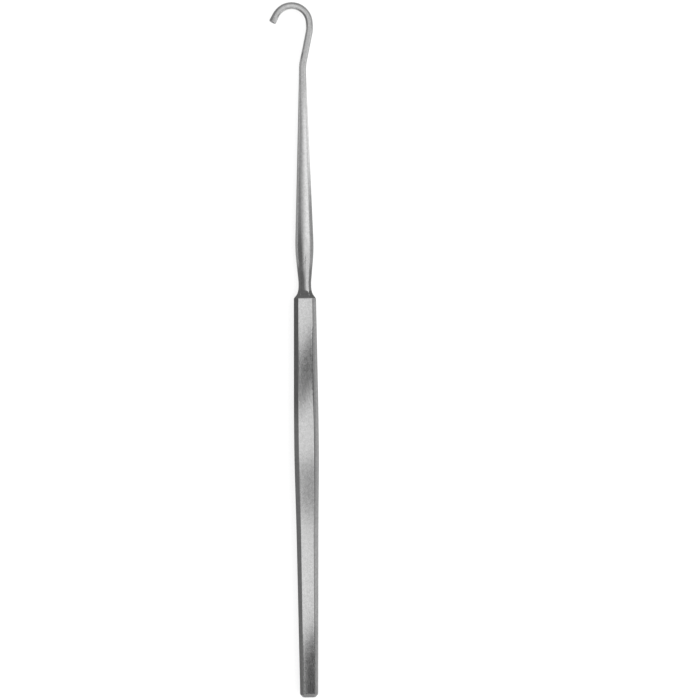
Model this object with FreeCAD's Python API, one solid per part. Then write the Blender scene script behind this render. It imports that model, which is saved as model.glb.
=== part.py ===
import FreeCAD, Part

import math
import os

# A blunt surgical hook forged and ground from one piece of steel: an eight-sided handle that
# swells towards its middle, a faceted shoulder that runs out into a round neck, a bellied shaft
# that tapers to a wire, and the wire bent into a hook with a blunt end.
#
# Millimetres and degrees. The hook lies on its back as it rests on a table: +Z is up, +Y runs
# along the handle towards the hook, and +X is to the right seen from above. The origin is on
# the underside of the handle, in the middle of the parallel land that it rests on. While it is
# made, the instrument's axis is the Y axis, with the butt at zero.

# Handle: lengths along the axis, in order from the butt
BEVEL_LENGTH = 0.95
REAR_LENGTH = 47.05
SWELL_LENGTH = 20.5
LAND_LENGTH = 12.5
FRONT_LENGTH = 33.6

# Handle: width, thickness and corner chamfer of the bar at the butt, where the swell starts,
# over the parallel land and at the shoulder
BUTT_WIDTH = 5.2
BUTT_THICKNESS = 4.95
BUTT_CHAMFER = 0.92
SWELL_WIDTH = 6.27
SWELL_THICKNESS = 5.98
SWELL_CHAMFER = 1.22
LAND_WIDTH = 7.04
LAND_THICKNESS = 6.7
LAND_CHAMFER = 1.24
SHOULDER_WIDTH = 6.36
SHOULDER_THICKNESS = 6.1
SHOULDER_CHAMFER = 1.2
EDGE_RADIUS = 0.3  # polished rounding of the eight long edges
BEVEL_DEPTH = 0.8  # how far the bevel at the butt is ground down from every face

# Shoulder, neck, belly and taper of the shaft, from the handle on: a diameter beside a radius
# is the one at which the straight runs would meet if the radius did not blend them
SHOULDER_ANGLE = 36.5  # from the axis, at the sides
ROOT_DIAMETER = 4.14
NECK_LENGTH = 1.9
NECK_DIAMETER = 3.4
NECK_RADIUS = 13.0
BELLY_LENGTH = 10.6
BELLY_DIAMETER = 5.38
BELLY_RADIUS = 48.0
TAPER_LENGTH = 50.9
TAPER_RADIUS = 30.0

# Hook: the wire, and the bends of its centreline in order from the shaft to the tip
WIRE_DIAMETER = 2.06
COLLAR_LENGTH = 0.6  # straight wire between the taper and the first bend
LEAN_RADIUS = 13.7  # a first bend leans the wire away from the opening
LEAN_ANGLE = 11.7
LEAN_LENGTH = 8.0
THROAT_RADIUS = 10.7  # an easy bend leads back into the curl
THROAT_ANGLE = 20.5
CURL_RADIUS = 5.05
CURL_ANGLE = 142.6
TIP_LENGTH = 2.45
TIP_RADIUS = 0.38  # rounding of the blunt end's rim

# Stations along the axis, from the butt
SWELL = BEVEL_LENGTH + REAR_LENGTH
LAND_START = SWELL + SWELL_LENGTH
LAND_END = LAND_START + LAND_LENGTH
SHOULDER = LAND_END + FRONT_LENGTH
ROOT = SHOULDER + (SHOULDER_WIDTH - ROOT_DIAMETER) / 2 / math.tan(math.radians(SHOULDER_ANGLE))
NECK = ROOT + NECK_LENGTH
BELLY = NECK + BELLY_LENGTH
TAPER_END = BELLY + TAPER_LENGTH
WIRE_START = TAPER_END + COLLAR_LENGTH

ALONG = FreeCAD.Vector(0, 1, 0)
ON_AXIS = FreeCAD.Vector(0, 0, 0)
SIDES = 8
SIDE_ANGLE = 360 / SIDES


def point(across, along, up=0):
    return FreeCAD.Vector(across, along, up)


def line(start, end):
    return Part.LineSegment(start, end).toShape()


def corner_arc(before, corner, after, radius):
    """Start, middle and end of the arc that rounds the corner between two straight runs."""
    back = (before - corner).normalize()
    onward = (after - corner).normalize()
    turn = math.pi - back.getAngle(onward)
    tangent = radius * math.tan(turn / 2)
    middle = (back + onward).normalize() * (tangent * math.tan(turn / 4))
    return corner + back * tangent, corner + middle, corner + onward * tangent


def through(start, arcs):
    """Edges that run straight from the start to each arc in turn, and along it."""
    edges = []
    for arc_start, arc_middle, arc_end in arcs:
        edges.append(line(start, arc_start))
        edges.append(Part.Arc(arc_start, arc_middle, arc_end).toShape())
        start = arc_end
    return edges


def bar_section(station, width, thickness, chamfer, depth=0):
    """The bar's outline with rounded corners, ground down by a depth from every face."""
    side = width / 2 - depth
    face = thickness / 2 - depth
    cut = chamfer - depth * (2 - math.sqrt(2))
    corners = [
        point(side, station, face - cut),
        point(side - cut, station, face),
        point(cut - side, station, face),
        point(-side, station, face - cut),
        point(-side, station, cut - face),
        point(cut - side, station, -face),
        point(side - cut, station, -face),
        point(side, station, cut - face),
    ]
    before = corners[-1:] + corners[:-1]
    after = corners[1:] + corners[:1]
    arcs = [corner_arc(*three, EDGE_RADIUS) for three in zip(before, corners, after)]
    return Part.Wire(through(arcs[-1][-1], arcs))


def root_section():
    """The round end of the shoulder, divided into sides and corners as the bar's outline is."""
    radius = ROOT_DIAMETER / 2
    corner_angle = SIDE_ANGLE * EDGE_RADIUS / radius
    side_angle = SIDE_ANGLE - corner_angle

    def on_circle(angle):
        turned = math.radians(angle)
        return point(radius * math.cos(turned), ROOT, radius * math.sin(turned))

    edges = []
    start = -side_angle / 2
    for angle in [side_angle, corner_angle] * SIDES:
        ends = [on_circle(start), on_circle(start + angle / 2), on_circle(start + angle)]
        edges.append(Part.Arc(*ends).toShape())
        start += angle
    return Part.Wire(edges)


def handle():
    """The bar with its bevelled butt and its shoulder, straight from each section to the next."""
    sections = [
        bar_section(0, BUTT_WIDTH, BUTT_THICKNESS, BUTT_CHAMFER, BEVEL_DEPTH),
        bar_section(BEVEL_LENGTH, BUTT_WIDTH, BUTT_THICKNESS, BUTT_CHAMFER),
        bar_section(SWELL, SWELL_WIDTH, SWELL_THICKNESS, SWELL_CHAMFER),
        bar_section(LAND_START, LAND_WIDTH, LAND_THICKNESS, LAND_CHAMFER),
        bar_section(LAND_END, LAND_WIDTH, LAND_THICKNESS, LAND_CHAMFER),
        bar_section(SHOULDER, SHOULDER_WIDTH, SHOULDER_THICKNESS, SHOULDER_CHAMFER),
        root_section(),
    ]
    return Part.makeLoft(sections, True, True)


def shaft():
    """Neck, belly and taper, turned in one profile from the shoulder to the wire."""
    corners = [
        point(ROOT_DIAMETER / 2, ROOT),
        point(NECK_DIAMETER / 2, NECK),
        point(BELLY_DIAMETER / 2, BELLY),
        point(WIRE_DIAMETER / 2, TAPER_END),
        point(WIRE_DIAMETER / 2, WIRE_START),
    ]
    threes = zip(corners, corners[1:], corners[2:])
    radii = [NECK_RADIUS, BELLY_RADIUS, TAPER_RADIUS]
    arcs = [corner_arc(*three, radius) for three, radius in zip(threes, radii)]
    closing = [arcs[-1][-1], corners[-1], point(0, WIRE_START), point(0, ROOT), corners[0]]
    profile = through(corners[0], arcs) + [line(*ends) for ends in zip(closing, closing[1:])]
    return Part.Face(Part.Wire(profile)).revolve(ON_AXIS, ALONG, 360)


class Route:
    """A centreline in the XY plane, laid out by straight runs and bends."""

    def __init__(self, start):
        self.place = start
        self.heading = 0  # from +Y, and positive to the left
        self.edges = []

    def direction(self, heading):
        turned = math.radians(heading)
        return point(-math.sin(turned), math.cos(turned))

    def straight(self, length):
        end = self.place + self.direction(self.heading) * length
        self.edges.append(line(self.place, end))
        self.place = end

    def bend(self, radius, angle):
        """A bend to the left, or to the right where the angle is negative."""
        inward = math.copysign(90, angle)
        centre = self.place + self.direction(self.heading + inward) * radius
        middle = centre + self.direction(self.heading + angle / 2 - inward) * radius
        end = centre + self.direction(self.heading + angle - inward) * radius
        self.edges.append(Part.Arc(self.place, middle, end).toShape())
        self.place = end
        self.heading += angle


def wire():
    """Round wire along the hook's centreline, with the rim of its blunt end rounded."""
    route = Route(point(0, WIRE_START))
    route.bend(LEAN_RADIUS, -LEAN_ANGLE)
    route.straight(LEAN_LENGTH)
    route.bend(THROAT_RADIUS, THROAT_ANGLE)
    route.bend(CURL_RADIUS, CURL_ANGLE)
    route.straight(TIP_LENGTH)
    circle = Part.makeCircle(WIRE_DIAMETER / 2, point(0, WIRE_START), ALONG)
    bent = Part.Wire(route.edges).makePipe(Part.Face(Part.Wire(circle)))
    tip = min(bent.Faces, key=lambda face: face.CenterOfMass.distanceToPoint(route.place))
    return bent.makeFillet(TIP_RADIUS, tip.Edges)


def surgical_hook():
    hook = handle().fuse([shaft(), wire()]).removeSplitter().Solids[0]
    hook.translate(point(0, -(LAND_START + LAND_END) / 2, LAND_THICKNESS / 2))
    return hook


os.makedirs("parts", exist_ok=True)
surgical_hook().exportStep("parts/surgical_hook.step")
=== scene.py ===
import math

import bpy
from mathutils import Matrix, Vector


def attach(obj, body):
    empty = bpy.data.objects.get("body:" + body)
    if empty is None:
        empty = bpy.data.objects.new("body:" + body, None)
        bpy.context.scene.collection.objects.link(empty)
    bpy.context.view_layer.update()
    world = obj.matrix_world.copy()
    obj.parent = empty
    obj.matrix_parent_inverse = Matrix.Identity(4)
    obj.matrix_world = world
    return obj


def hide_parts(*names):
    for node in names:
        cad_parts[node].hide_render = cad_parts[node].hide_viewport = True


# A blunt surgical hook in satin stainless steel, lying on its back on a white table. The mesh
# repeats the solid's own sizes with finer facets and softly worn edges. It is worked out in
# millimetres along the instrument's axis, from the butt, and then put in the row's frame.

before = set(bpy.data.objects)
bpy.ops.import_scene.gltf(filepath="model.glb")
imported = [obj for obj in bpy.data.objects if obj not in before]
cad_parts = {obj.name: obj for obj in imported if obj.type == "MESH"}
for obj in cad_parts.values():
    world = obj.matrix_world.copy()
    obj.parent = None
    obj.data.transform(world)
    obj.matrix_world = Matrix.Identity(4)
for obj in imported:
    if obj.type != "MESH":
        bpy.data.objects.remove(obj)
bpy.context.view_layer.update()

MM = 0.001

# Handle: lengths along the axis, and width, thickness and corner chamfer of the bar
BEVEL_LENGTH = 0.95
REAR_LENGTH = 47.05
SWELL_LENGTH = 20.5
LAND_LENGTH = 12.5
FRONT_LENGTH = 33.6
BUTT = (5.2, 4.95, 0.92)
SWELL = (6.27, 5.98, 1.22)
LAND = (7.04, 6.7, 1.24)
SHOULDER = (6.36, 6.1, 1.2)
EDGE_RADIUS = 0.45  # a little softer than the solid's, as polishing leaves it
BEVEL_DEPTH = 0.8

# Shoulder, neck, belly and taper of the shaft
SHOULDER_ANGLE = 36.5
ROOT_DIAMETER = 4.14
NECK_LENGTH = 1.9
NECK_DIAMETER = 3.4
NECK_RADIUS = 13.0
BELLY_LENGTH = 10.6
BELLY_DIAMETER = 5.38
BELLY_RADIUS = 48.0
TAPER_LENGTH = 50.9
TAPER_RADIUS = 30.0

# Hook: the wire and the bends of its centreline
WIRE_DIAMETER = 2.06
COLLAR_LENGTH = 0.6
LEAN_RADIUS = 13.7
LEAN_ANGLE = 11.7
LEAN_LENGTH = 8.0
THROAT_RADIUS = 10.7
THROAT_ANGLE = 20.5
CURL_RADIUS = 5.05
CURL_ANGLE = 142.6
TIP_LENGTH = 2.45
TIP_RADIUS = 0.38

# Softness that the solid leaves out
FACE_HOLLOW = 0.013  # left by grinding in a long face, as a share of its width
CHAMFER_HOLLOW = 0.02  # the same in a chamfer
EASE = 5.0  # reach over which the bar's slope changes from one taper to the next
RIM_REACH = 0.28  # wear of the rims round the butt and the shoulder
ROOT_REACH = 0.8  # blend of the shoulder into the neck

# Fineness of the mesh: places across a flat, steps round an arc, and distances between rings
FLAT_STOPS = (0.0, 0.05, 0.2, 0.4, 0.6, 0.8, 0.95)
ARC_STEPS = 6
RIM_STEPS = 6
EASE_STEPS = 5
PROFILE_STEPS = 16
TIP_STEPS = 8
RING_STEP = 1.1
NECK_STEP = 0.5
BELLY_STEP = 0.9
BELLY_EASE = 5.0  # length before the belly from where its wider steps do
COLLAR_STEP = 0.3
BEND_STEP = 2.5  # degrees
BUTT_SCALES = (0.3, 0.6, 0.8)
TIP_SCALES = (0.9, 0.6, 0.3)
SHOULDER_SHARES = (0.25, 0.35, 0.45)

SIDES = 8
SIDE_ANGLE = 360 / SIDES

SWELL_AT = BEVEL_LENGTH + REAR_LENGTH
LAND_START = SWELL_AT + SWELL_LENGTH
LAND_END = LAND_START + LAND_LENGTH
SHOULDER_AT = LAND_END + FRONT_LENGTH
ROOT_AT = SHOULDER_AT + (SHOULDER[0] - ROOT_DIAMETER) / 2 / math.tan(math.radians(SHOULDER_ANGLE))
NECK_AT = ROOT_AT + NECK_LENGTH
BELLY_AT = NECK_AT + BELLY_LENGTH
TAPER_END = BELLY_AT + TAPER_LENGTH
WIRE_START = TAPER_END + COLLAR_LENGTH
TO_ROW = Vector((0, -(LAND_START + LAND_END) / 2, LAND[1] / 2))

HANDLE_STATIONS = [
    (BEVEL_LENGTH, BUTT),
    (SWELL_AT, SWELL),
    (LAND_START, LAND),
    (LAND_END, LAND),
    (SHOULDER_AT, SHOULDER),
]


def mix(a, b, t):
    return a + (b - a) * t


def bar_size(station):
    """Width, thickness and chamfer of the bar, straight from one station to the next."""
    for (start, before), (end, after) in zip(HANDLE_STATIONS, HANDLE_STATIONS[1:]):
        if station <= end or end == SHOULDER_AT:
            t = (station - start) / (end - start)
            return [mix(a, b, t) for a, b in zip(before, after)]


def eased_size(station):
    """The bar's size with its slopes blended into each other, as hand grinding leaves them."""
    reach = min(EASE, station - BEVEL_LENGTH, SHOULDER_AT - station)
    offsets = [reach * (step / EASE_STEPS - 1) for step in range(2 * EASE_STEPS + 1)]
    sizes = [bar_size(station + offset) for offset in offsets]
    return [sum(values) / len(values) for values in zip(*sizes)]


def bar_ring(station, size, depth=0.0):
    """Points round the bar's rounded outline, from the right side anticlockwise."""
    width, thickness, chamfer = size
    side = width / 2 - depth
    face = thickness / 2 - depth
    cut = chamfer - depth * (2 - math.sqrt(2))
    quarter = [(side, face - cut), (side - cut, face)]
    corners = quarter + [(-x, z) for x, z in quarter[::-1]]
    corners += [(-x, -z) for x, z in corners]
    centres = []
    for index, (x, z) in enumerate(corners):
        turned = math.radians(SIDE_ANGLE * (index + 0.5))
        inset = EDGE_RADIUS / math.cos(math.radians(SIDE_ANGLE / 2))
        centres.append(Vector((x - inset * math.cos(turned), z - inset * math.sin(turned))))
    ring = []
    for index in range(SIDES):
        turned = math.radians(SIDE_ANGLE * index)
        outward = Vector((math.cos(turned), math.sin(turned)))
        start = centres[index - 1] + outward * EDGE_RADIUS
        end = centres[index] + outward * EDGE_RADIUS
        hollow = (end - start).length * (CHAMFER_HOLLOW if index % 2 else FACE_HOLLOW)
        for t in FLAT_STOPS:
            ring.append(start.lerp(end, t) - outward * (hollow * 4 * t * (1 - t)))
        for step in range(ARC_STEPS):
            angle = turned + math.radians(SIDE_ANGLE) * step / ARC_STEPS
            ring.append(centres[index] + EDGE_RADIUS * Vector((math.cos(angle), math.sin(angle))))
    return [Vector((x, station, z)) for x, z in ring]


def root_angles():
    """Where the bar's points come round the shaft, in degrees."""
    corner_angle = SIDE_ANGLE * EDGE_RADIUS / (ROOT_DIAMETER / 2)
    side_angle = SIDE_ANGLE - corner_angle
    angles = []
    for index in range(SIDES):
        start = SIDE_ANGLE * index - side_angle / 2
        angles += [start + side_angle * t for t in FLAT_STOPS]
        start += side_angle
        angles += [start + corner_angle * step / ARC_STEPS for step in range(ARC_STEPS)]
    return angles


ROOT_ANGLES = root_angles()
AROUND = len(ROOT_ANGLES)
EVEN_ANGLES = [ROOT_ANGLES[0] + 360 * index / AROUND for index in range(AROUND)]


def round_ring(place, heading, radius, evenness=1.0):
    """Points round a circle that stands across the centreline's heading."""
    turned = math.radians(heading)
    across = Vector((math.cos(turned), math.sin(turned), 0))
    ring = []
    for root, even in zip(ROOT_ANGLES, EVEN_ANGLES):
        angle = math.radians(mix(root, even, evenness))
        up = Vector((0, 0, radius * math.sin(angle)))
        ring.append(place + across * (radius * math.cos(angle)) + up)
    return ring


def worn_corner(before, corner, after, reach):
    """Rings that carry each lengthwise line softly round a corner."""
    rings = []
    for step in range(RIM_STEPS + 1):
        t = step / RIM_STEPS
        ring = []
        for a, b, c in zip(before, corner, after):
            start = b + (a - b).normalized() * reach
            end = b + (c - b).normalized() * reach
            ring.append(start * (1 - t) ** 2 + b * (2 * t * (1 - t)) + end * t ** 2)
        rings.append(ring)
    return rings


def steps_between(start, end, step):
    """Evenly spaced values strictly between two, about a step apart."""
    count = max(1, math.ceil((end - start) / step))
    return [mix(start, end, index / count) for index in range(1, count)]


def shrunk(ring, scale):
    centre = sum(ring, Vector()) / len(ring)
    return [centre.lerp(point, scale) for point in ring]


def handle_rings():
    butt = bar_ring(0, BUTT, BEVEL_DEPTH)
    bevel = bar_ring(BEVEL_LENGTH, BUTT)
    shoulder = bar_ring(SHOULDER_AT, SHOULDER)
    root = round_ring(Vector((0, ROOT_AT, 0)), 0, ROOT_DIAMETER / 2, 0.0)
    past_bevel = bar_ring(BEVEL_LENGTH + 1, bar_size(BEVEL_LENGTH + 1))
    before_shoulder = bar_ring(SHOULDER_AT - 1, bar_size(SHOULDER_AT - 1))
    past_root = shaft_ring(ROOT_AT + 1)
    rings = [shrunk(butt, scale) for scale in BUTT_SCALES]
    rings += worn_corner(shrunk(butt, 0.5), butt, bevel, RIM_REACH)
    rings += worn_corner(butt, bevel, past_bevel, RIM_REACH)
    for station in steps_between(BEVEL_LENGTH + RIM_REACH, SHOULDER_AT - RIM_REACH, RING_STEP):
        rings.append(bar_ring(station, eased_size(station)))
    rings += worn_corner(before_shoulder, shoulder, root, RIM_REACH)
    rings += [[a.lerp(b, t) for a, b in zip(shoulder, root)] for t in SHOULDER_SHARES]
    rings += worn_corner(shoulder, root, past_root, ROOT_REACH)
    return rings


def rounded_profile():
    """Stations and radii along the shaft, with each change of slope blended by an arc."""
    corners = [
        Vector((ROOT_AT, ROOT_DIAMETER / 2)),
        Vector((NECK_AT, NECK_DIAMETER / 2)),
        Vector((BELLY_AT, BELLY_DIAMETER / 2)),
        Vector((TAPER_END, WIRE_DIAMETER / 2)),
        Vector((WIRE_START, WIRE_DIAMETER / 2)),
    ]
    profile = [corners[0]]
    for before, corner, after, radius in zip(
        corners, corners[1:], corners[2:], (NECK_RADIUS, BELLY_RADIUS, TAPER_RADIUS)
    ):
        back = (before - corner).normalized()
        onward = (after - corner).normalized()
        turn = math.pi - back.angle(onward)
        reach = radius * math.tan(turn / 2)
        inward = (back + onward).normalized()
        centre = corner + inward * (radius / math.cos(turn / 2))
        start = corner + back * reach - centre
        end = corner + onward * reach - centre
        for step in range(PROFILE_STEPS + 1):
            outward = start.lerp(end, step / PROFILE_STEPS).normalized()
            profile.append(centre + outward * radius)
    profile.append(corners[-1])
    return profile


PROFILE = rounded_profile()


def shaft_ring(station):
    """A ring of the shaft; near the root its points still stand as the bar's do."""
    for before, after in zip(PROFILE, PROFILE[1:]):
        if station <= after.x:
            radius = mix(before.y, after.y, (station - before.x) / (after.x - before.x))
            break
    evenness = min(1.0, max(0.0, (station - ROOT_AT) / (2 * NECK_LENGTH)))
    return round_ring(Vector((0, station, 0)), 0, radius, evenness)


def shaft_rings():
    stations = sorted(
        steps_between(ROOT_AT + ROOT_REACH, BELLY_AT - BELLY_EASE, NECK_STEP)
        + steps_between(BELLY_AT - BELLY_EASE, TAPER_END, BELLY_STEP)
        + steps_between(TAPER_END, WIRE_START, COLLAR_STEP)
    )
    return [shaft_ring(station) for station in stations]


class Route:
    """The wire's centreline, as places and headings from +Y, positive to the left."""

    def __init__(self, start):
        self.place = start
        self.heading = 0.0
        self.stops = [(start, 0.0)]

    def direction(self, heading):
        turned = math.radians(heading)
        return Vector((-math.sin(turned), math.cos(turned), 0))

    def straight(self, length):
        start = self.place
        self.place = start + self.direction(self.heading) * length
        count = math.ceil(length / RING_STEP)
        for index in range(1, count + 1):
            self.stops.append((start.lerp(self.place, index / count), self.heading))

    def bend(self, radius, angle):
        inward = math.copysign(90, angle)
        centre = self.place + self.direction(self.heading + inward) * radius
        count = math.ceil(abs(angle) / BEND_STEP)
        for index in range(1, count + 1):
            heading = self.heading + angle * index / count
            self.stops.append((centre + self.direction(heading - inward) * radius, heading))
        self.place, self.heading = self.stops[-1]


def wire_rings():
    radius = WIRE_DIAMETER / 2
    route = Route(Vector((0, WIRE_START, 0)))
    route.bend(LEAN_RADIUS, -LEAN_ANGLE)
    route.straight(LEAN_LENGTH)
    route.bend(THROAT_RADIUS, THROAT_ANGLE)
    route.bend(CURL_RADIUS, CURL_ANGLE)
    route.straight(TIP_LENGTH - TIP_RADIUS)
    rings = [round_ring(place, heading, radius) for place, heading in route.stops]
    onward = route.direction(route.heading)
    for step in range(1, TIP_STEPS + 1):
        turned = math.pi / 2 * step / TIP_STEPS
        place = route.place + onward * (TIP_RADIUS * math.sin(turned))
        worn = radius - TIP_RADIUS * (1 - math.cos(turned))
        rings.append(round_ring(place, route.heading, worn))
    rings += [shrunk(rings[-1], scale) for scale in TIP_SCALES]
    return rings


def hook_mesh():
    """The whole instrument as one closed skin of rings; "edge" marks the handle's worn edges."""
    rings = handle_rings() + shaft_rings() + wire_rings()
    points = [point for ring in rings for point in ring]
    faces = []
    for index in range(len(rings) - 1):
        for step in range(AROUND):
            a = index * AROUND + step
            b = index * AROUND + (step + 1) % AROUND
            faces.append((a, b, b + AROUND, a + AROUND))
    last = len(points)
    points.append(sum(rings[0], Vector()) / AROUND)
    points.append(sum(rings[-1], Vector()) / AROUND)
    end = (len(rings) - 1) * AROUND
    for step in range(AROUND):
        after = (step + 1) % AROUND
        faces.append((after, step, last))
        faces.append((end + step, end + after, last + 1))
    faces = [face[::-1] for face in faces]
    mesh = bpy.data.meshes.new("satin_hook")
    mesh.from_pydata([(point + TO_ROW) * MM for point in points], [], faces)
    edge = mesh.attributes.new("edge", "FLOAT", "POINT")
    per_side = AROUND // SIDES
    handle_points = len(handle_rings()) * AROUND
    for index in range(handle_points):
        on_arc = index % per_side >= len(FLAT_STOPS) or index % per_side == 0
        edge.data[index].value = 1.0 if on_arc else 0.0
    mesh.polygons.foreach_set("use_smooth", [True] * len(mesh.polygons))
    mesh.update()
    return mesh


# Steel: its noises, each by its stretch along the axis, size in millimetres and detail
GRAIN = (22, 0.16, 3.0)
MOTTLE = (1.3, 0.8, 2.0)
SPECK = (1.6, 0.3, 1.0)
WAVE = (4.5, 5.0, 1.0)

# Its greys and roughness, and depths in millimetres of what grinding left
STEEL_GREYS = (0.52, 0.7)
GREY_CONTRAST = (1.2, -0.7)  # times the sum of mottle and speck, and plus
ROUGHNESS = (0.14, 0.19)
GRAIN_ROUGHNESS = (-0.03, 0.03)
WAVE_DEPTH = 0.016
MOTTLE_DEPTH = 0.003
GRAIN_DEPTH = 0.001
EDGE_POLISH = 0.04  # by which the worn edges are less rough


def grey(tone):
    return (tone, tone, tone, 1)


class Nodes:
    """Short calls for building a node tree."""

    def __init__(self, tree):
        self.tree = tree
        tree.nodes.clear()

    def add(self, kind, settings=None, **inputs):
        node = self.tree.nodes.new(kind)
        for name, value in (settings or {}).items():
            setattr(node, name, value)
        for name, value in inputs.items():
            self.put(node.inputs[name.replace("_", " ")], value)
        return node

    def put(self, socket, value):
        if isinstance(value, bpy.types.NodeSocket):
            self.tree.links.new(value, socket)
        else:
            socket.default_value = value

    def math(self, operation, *values):
        node = self.tree.nodes.new("ShaderNodeMath")
        node.operation = operation
        for socket, value in zip(node.inputs, values):
            self.put(socket, value)
        return node.outputs[0]

    def noise(self, place, stretch, size, detail):
        """Noise from 0 to 1 with features of a size in mm, drawn out along the axis."""
        scaled = self.tree.nodes.new("ShaderNodeVectorMath")
        scaled.operation = "MULTIPLY"
        self.put(scaled.inputs[0], place)
        scaled.inputs[1].default_value = (1, 1 / stretch, 1)
        scale = 1 / (size * MM)
        node = self.add("ShaderNodeTexNoise", Vector=scaled.outputs[0], Scale=scale, Detail=detail)
        return node.outputs["Fac"]

    def span(self, value, low, high):
        """A value from 0 to 1 mapped between two."""
        node = self.add("ShaderNodeMapRange", Value=value, To_Min=low, To_Max=high)
        return node.outputs["Result"]

    def bump(self, height, depth, below=None):
        """Bumps of a depth in mm, on top of others."""
        node = self.add("ShaderNodeBump", Strength=1.0, Distance=depth * MM, Height=height)
        if below:
            self.put(node.inputs["Normal"], below)
        return node.outputs[0]


def steel_material():
    material = bpy.data.materials.new("satin_steel")
    material.use_nodes = True
    nodes = Nodes(material.node_tree)
    place = nodes.add("ShaderNodeTexCoord").outputs["Object"]
    edge = nodes.add("ShaderNodeAttribute", {"attribute_name": "edge"}).outputs["Fac"]
    grain = nodes.noise(place, *GRAIN)
    mottle = nodes.noise(place, *MOTTLE)
    speck = nodes.noise(place, *SPECK)
    wave = nodes.noise(place, *WAVE)

    tone = nodes.add("ShaderNodeMix", {"data_type": "RGBA"})
    clouds = nodes.math("ADD", mottle, speck)
    nodes.put(tone.inputs["Factor"], nodes.math("MULTIPLY_ADD", clouds, *GREY_CONTRAST))
    tone.inputs["A"].default_value = grey(STEEL_GREYS[0])
    tone.inputs["B"].default_value = grey(STEEL_GREYS[1])

    rough = nodes.span(mottle, *ROUGHNESS)
    rough = nodes.math("ADD", rough, nodes.span(grain, *GRAIN_ROUGHNESS))
    rough = nodes.math("SUBTRACT", rough, nodes.math("MULTIPLY", edge, EDGE_POLISH))

    relief = nodes.bump(wave, WAVE_DEPTH)
    relief = nodes.bump(mottle, MOTTLE_DEPTH, relief)
    relief = nodes.bump(grain, GRAIN_DEPTH, relief)

    steel = nodes.add(
        "ShaderNodeBsdfPrincipled",
        Base_Color=tone.outputs["Result"],
        Metallic=1.0,
        Roughness=rough,
        Normal=relief,
    )
    nodes.add("ShaderNodeOutputMaterial", Surface=steel.outputs[0])
    return material


hook = bpy.data.objects.new("satin_hook", hook_mesh())
bpy.context.collection.objects.link(hook)
hook.data.materials.append(steel_material())
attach(hook, "root")
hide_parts("surgical_hook")

# Table, seen as plain white with the faint shadow of the instrument
TABLE_SIZE = 4.0
TABLE_DROP = 0.00004  # below the instrument, so that the two don't share a plane
TABLE_TONE = 0.9
SHADOW_SHARE = 0.25


def card(name, corners, material):
    """A flat card between corners in metres."""
    mesh = bpy.data.meshes.new(name)
    mesh.from_pydata(corners, [], [tuple(range(len(corners)))])
    mesh.materials.append(material)
    obj = bpy.data.objects.new(name, mesh)
    bpy.context.collection.objects.link(obj)
    return obj


def table_material():
    material = bpy.data.materials.new("white_table")
    material.use_nodes = True
    nodes = Nodes(material.node_tree)
    path = nodes.add("ShaderNodeLightPath").outputs
    seen = nodes.math("MAXIMUM", path["Is Camera Ray"], path["Is Glossy Ray"])
    seen = nodes.math("MAXIMUM", seen, path["Is Transmission Ray"])
    paper = nodes.add("ShaderNodeBsdfDiffuse", Color=grey(TABLE_TONE))
    white = nodes.add("ShaderNodeEmission", Color=grey(1), Strength=1.0)
    both = nodes.add("ShaderNodeMixShader", Fac=nodes.math("MULTIPLY", seen, 1 - SHADOW_SHARE))
    nodes.put(both.inputs[1], paper.outputs[0])
    nodes.put(both.inputs[2], white.outputs[0])
    nodes.add("ShaderNodeOutputMaterial", Surface=both.outputs[0])
    return material


half = TABLE_SIZE / 2
table_outline = [(-half, -half), (half, -half), (half, half), (-half, half)]
card("table", [(x, y, -TABLE_DROP) for x, y in table_outline], table_material())


# Studio: cards that only the steel's reflections see draw the dark and bright bands on it


def flag(name, tone, corners, fades):
    """A card in millimetres that shows only in reflections; each edge fades in over its reach.

    The fades are those of the edges at the start and end of its first side, then of its second.
    """
    material = bpy.data.materials.new(name)
    material.use_nodes = True
    nodes = Nodes(material.node_tree)
    corners = [Vector(corner) for corner in corners]
    uv_map = nodes.add("ShaderNodeUVMap").outputs[0]
    place = nodes.add("ShaderNodeSeparateXYZ", Vector=uv_map)
    solid = 1.0
    for edge, reach in enumerate(fades):
        if not reach:
            continue
        axis = edge // 2
        length = (corners[3 if axis else 1] - corners[0]).length
        inward = place.outputs[axis]
        if edge % 2:
            inward = nodes.math("SUBTRACT", 1.0, inward)
        smooth = {"interpolation_type": "SMOOTHSTEP"}
        fade = nodes.add("ShaderNodeMapRange", smooth, Value=inward, From_Max=reach / length)
        solid = nodes.math("MULTIPLY", solid, fade.outputs["Result"])
    clear = nodes.add("ShaderNodeBsdfTransparent")
    glow = nodes.add("ShaderNodeEmission", Color=grey(tone), Strength=1.0)
    both = nodes.add("ShaderNodeMixShader", Fac=solid)
    nodes.put(both.inputs[1], clear.outputs[0])
    nodes.put(both.inputs[2], glow.outputs[0])
    nodes.add("ShaderNodeOutputMaterial", Surface=both.outputs[0])
    obj = card(name, [corner * MM for corner in corners], material)
    layer = obj.data.uv_layers.new(name="UVMap")
    for loop, uv in zip(layer.data, ((0, 0), (1, 0), (1, 1), (0, 1))):
        loop.uv = uv
    obj.visible_camera = False
    obj.visible_diffuse = False
    obj.visible_transmission = False
    obj.visible_shadow = False


NO_FADES = (0, 0, 0, 0)


def lying(name, tone, across, along, height, fades=NO_FADES, slant=0):
    """A level card. The fades are its left, right, start and end.

    A slant moves its right side towards the butt.
    """
    (left, right), (start, end) = across, along
    corners = [(left, start), (right, start - slant), (right, end - slant), (left, end)]
    flag(name, tone, [(x, y, height) for x, y in corners], fades)


def standing(name, tone, side, along, heights, fades=NO_FADES):
    """A card that stands beside the instrument. The fades are its start, end, foot and top."""
    (start, end), (foot, top) = along, heights
    corners = [(start, foot), (end, foot), (end, top), (start, top)]
    flag(name, tone, [(side, y, z) for y, z in corners], fades)


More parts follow.
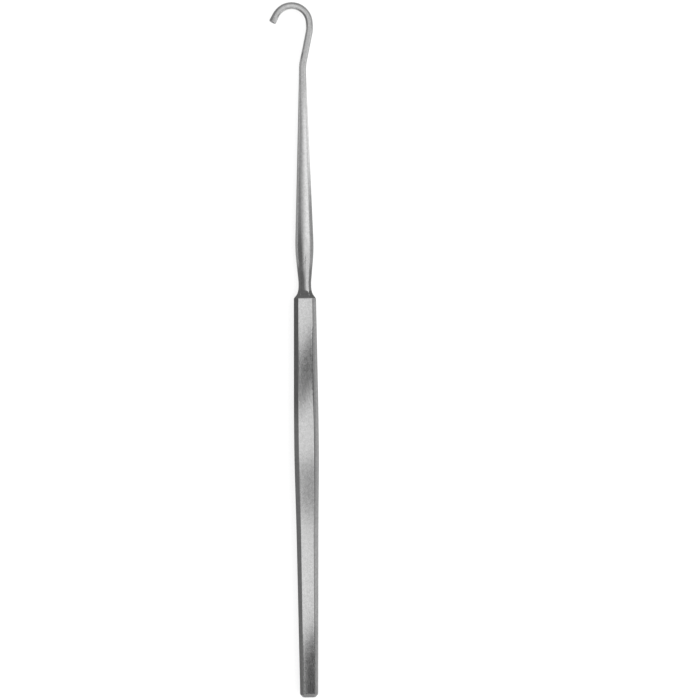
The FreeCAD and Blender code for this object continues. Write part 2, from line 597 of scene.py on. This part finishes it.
def facing(name, tone, along, across, heights, fades=NO_FADES):
    """A card that stands across the instrument. The fades are its left, right, foot and top."""
    (left, right), (foot, top) = across, heights
    corners = [(left, foot), (right, foot), (right, top), (left, top)]
    flag(name, tone, [(x, along, z) for x, z in corners], fades)


# Round the handle: a bright panel overhead with darker gaps, and cards on both sides
PANEL = 120  # height of the panel, and of what stands under its edges
GAP = PANEL - 1  # height of the darker cards under it
LOW = 0.05  # height of the cards that lie on the table
START = -130  # reach of the cards, past the butt
BUTT_AT = -75.5
NECK_START = 44

lying("panel", 1.05, (-13, 14), (START, 50), PANEL)
lying("gap_front", 0.1, (-20, 9), (15.5, 38.5), GAP, (0, 1.5, 5, 5), slant=11.6)
lying("edge_front", 0.12, (13, 41), (2, 42), GAP, (0, 0, 6, 8))
lying("edge_butt", 0.1, (15, 41), (-122, -64), GAP, (0, 0, 0, 6))
lying("gap_swell", 0.42, (-20, 9.2), (-35, -9), GAP, (0, 2.5, 5, 9))
lying("gap_butt", 0.06, (-20, 9), (-122, -64), GAP, (0, 3, 0, 5), slant=8)
standing("left_card", 0.21, -9.5, (START, 46), (0, 40), (0, 0, 0, 30))
standing("front_left", 0.14, -9.4, (2, 46), (0, 40), (10, 0, 0, 30))
standing("right_card", 0.56, 33.1, (START, NECK_START), (0, 18), (0, 0, 0, 6))
standing("right_foot", 0.31, 33, (-36, NECK_START), (0, 9), (22, 0, 0, 7))
standing("butt_foot", 0.34, 33, (START, -54), (0, 9.5), (0, 6, 0, 7))
standing("right_board", 0.32, 40, (START, 33), (12, PANEL))
standing("front_board", 0.15, 39.9, (-30, 33), (10, PANEL), (14, 0, 4, 0))
standing("butt_board", 0.15, 39.9, (START, -58), (10, PANEL), (0, 8, 4, 0))
lying("handle_left", 0.5, (-40, -3), (BUTT_AT, 40), LOW)
lying("handle_right", 0.5, (3, 40), (BUTT_AT, 40), LOW)
lying("butt_under", 0.5, (-40, 40), (START, BUTT_AT), LOW)
facing("near_card", 0.37, START, (-60, 60), (0, PANEL))

# Round the shoulder, the neck and the belly
neck_corners = [(-20, 41.7, 9), (4.4, 41.7, 9), (1.6, 50.5, 9), (-20, 50.5, 9)]
strip_corners = [(-30, 44, 0), (-30, 67, 0), (-30, 67, 38), (-30, 44, 62)]
taper_corners = [(-30.1, 44, 0), (-30.1, 92, 0), (-30.1, 84, 26), (-30.1, 44, 62)]

facing("shoulder_card", 0.16, 400, (-400, 400), (8, 270))
flag("neck_card", 0.17, neck_corners, (6, 6, 0, 5))
lying("belly_card", 0.17, (-44, 2.4), (44.5, 68), 14, (14, 12, 4, 18))
lying("neck_top", 0.76, (-7, 5.5), (41.5, 50), 14.5, (2, 2, 0, 3))
flag("left_strip", 0.18, strip_corners, (0, 11, 14, 12))
flag("left_taper", 0.3, taper_corners, (0, 15, 14, 12))
standing("shoulder_left", 0.2, -5.5, (42.3, 50.5), (0, 6.4), (0, 3, 0, 1))
standing("shoulder_right", 0.28, 5.5, (42.3, 50), (0, 6.2), (0, 3, 0, 1))
facing("corner_left", 0.17, 42.2, (-5.6, -2), (0, 8), (1, 0, 0, 1.5))
facing("corner_right", 0.17, 42.2, (2, 5.4), (0, 8), (0, 1, 0, 1.5))
facing("root_card", 0.17, 42.2, (-2, 2), (5.5, 8), (0, 0, 0, 1.5))
standing("neck_right", 0.48, 9, (43, 53), (0, 7), (0, 4, 0, 2))
lying("neck_top_right", 0.92, (4, 60), (32, 66), 26, (10, 0, 0, 20))
standing("right_belly", 0.45, 30, (43, 80), (0, 18), (0, 14, 0, 14))
lying("left_under", 0.45, (-40, 0), (40, 113), LOW, (0, 0, 0, 3))
lying("right_under", 0.42, (0, 40), (40, 85), LOW, (0, 0, 0, 20))

# Round the slim end of the shaft and the hook
lying("hook_card", 0.72, (-14, 26), (90, 140), 14, (6, 8, 16, 6))
lying("curl_top", 0.95, (-7, 2), (118, 129), 13.9, (3, 3, 4, 3))
lying("curl_left", 0.52, (-16, -5), (110, 124.5), 13.8, (0, 3, 3, 4))
standing("hook_left", 0.3, -20, (112, 150), (1, 32), (12, 0, 0, 14))
standing("throat_card", 0.22, -1.5, (118, 121), (2.6, 7.5), (0.8, 0.8, 0, 2))
standing("hook_right", 0.45, 22, (114, 150), (1, 18), (8, 0, 0, 8))
facing("hook_top", 0.4, 145, (-30, 30), (0, 22), (0, 0, 0, 10))
facing("tip_card", 0.17, 112.8, (-15, -7), (0, 12), (2, 2, 0, 4))
lying("throat_under", 0.35, (-40, -4), (112, 120), LOW, (0, 1, 0, 1))
lying("tip_under", 0.3, (-40, -10.5), (120, 150), LOW)
lying("curl_under", 0.45, (-10.5, 40), (126.5, 150), LOW)
lying("lean_under", 0.65, (4, 40), (98, 126.5), LOW, (0, 0, 8, 0))

# Walls: pale, and brighter on the right; each tone with how far it lies to the side, -1 to 1
WALLS = (
    (-1.0, 0.5),
    (-0.85, 0.42),
    (-0.6, 0.5),
    (-0.3, 0.68),
    (0.0, 0.88),
    (0.3, 1.06),
    (0.6, 1.24),
    (0.9, 1.2),
    (1.0, 0.7),
)

world = bpy.data.worlds.new("studio")
bpy.context.scene.world = world
world.use_nodes = True
nodes = Nodes(world.node_tree)
way = nodes.add("ShaderNodeTexCoord").outputs["Generated"]
sideways = nodes.add("ShaderNodeSeparateXYZ", Vector=way).outputs["X"]
ramp = nodes.add("ShaderNodeValToRGB", Fac=nodes.math("MULTIPLY_ADD", sideways, 0.5, 0.5))
ramp.color_ramp.interpolation = "EASE"
while len(ramp.color_ramp.elements) < len(WALLS):
    ramp.color_ramp.elements.new(0.5)
for stop, (side, tone) in zip(ramp.color_ramp.elements, WALLS):
    stop.position = (side + 1) / 2
    stop.color = grey(tone)
sky = nodes.add("ShaderNodeBackground", Color=ramp.outputs["Color"], Strength=1.0)
nodes.add("ShaderNodeOutputWorld", Surface=sky.outputs[0])


# A soft light on what doesn't mirror, which is the table; the steel doesn't mirror the lamp
FILL_PLACE = Vector((0.3, 0.02, 1.2))
FILL_AIM = Vector((0, 0.02, 0))
FILL_SIZE = 1.2
FILL_RADIANCE = 4.0

lamp = bpy.data.lights.new("fill", "AREA")
lamp.shape = "SQUARE"
lamp.size = FILL_SIZE
lamp.energy = FILL_RADIANCE * math.pi * FILL_SIZE ** 2
fill = bpy.data.objects.new("fill", lamp)
fill.location = FILL_PLACE
fill.rotation_euler = (FILL_AIM - FILL_PLACE).to_track_quat("-Z", "Y").to_euler()
fill.visible_camera = False
fill.visible_glossy = False
bpy.context.collection.objects.link(fill)

# Camera straight above, turned a little as the instrument leans in the photo
VIEW_WIDTH = 0.2013  # of the table, across the picture
VIEW_CENTRE = (0.01279, 0.02488)
VIEW_TURN = 0.62
LENS = 150.0
SENSOR = 36.0

camera_data = bpy.data.cameras.new("camera")
camera_data.lens = LENS
camera_data.sensor_width = SENSOR
camera = bpy.data.objects.new("camera", camera_data)
bpy.context.collection.objects.link(camera)
camera_height = VIEW_WIDTH * LENS / SENSOR + LAND[1] / 2 * MM
camera.location = (*VIEW_CENTRE, camera_height)
camera.rotation_euler = (0, 0, math.radians(-VIEW_TURN))
bpy.context.scene.camera = camera

bpy.context.scene.view_settings.view_transform = "Standard"
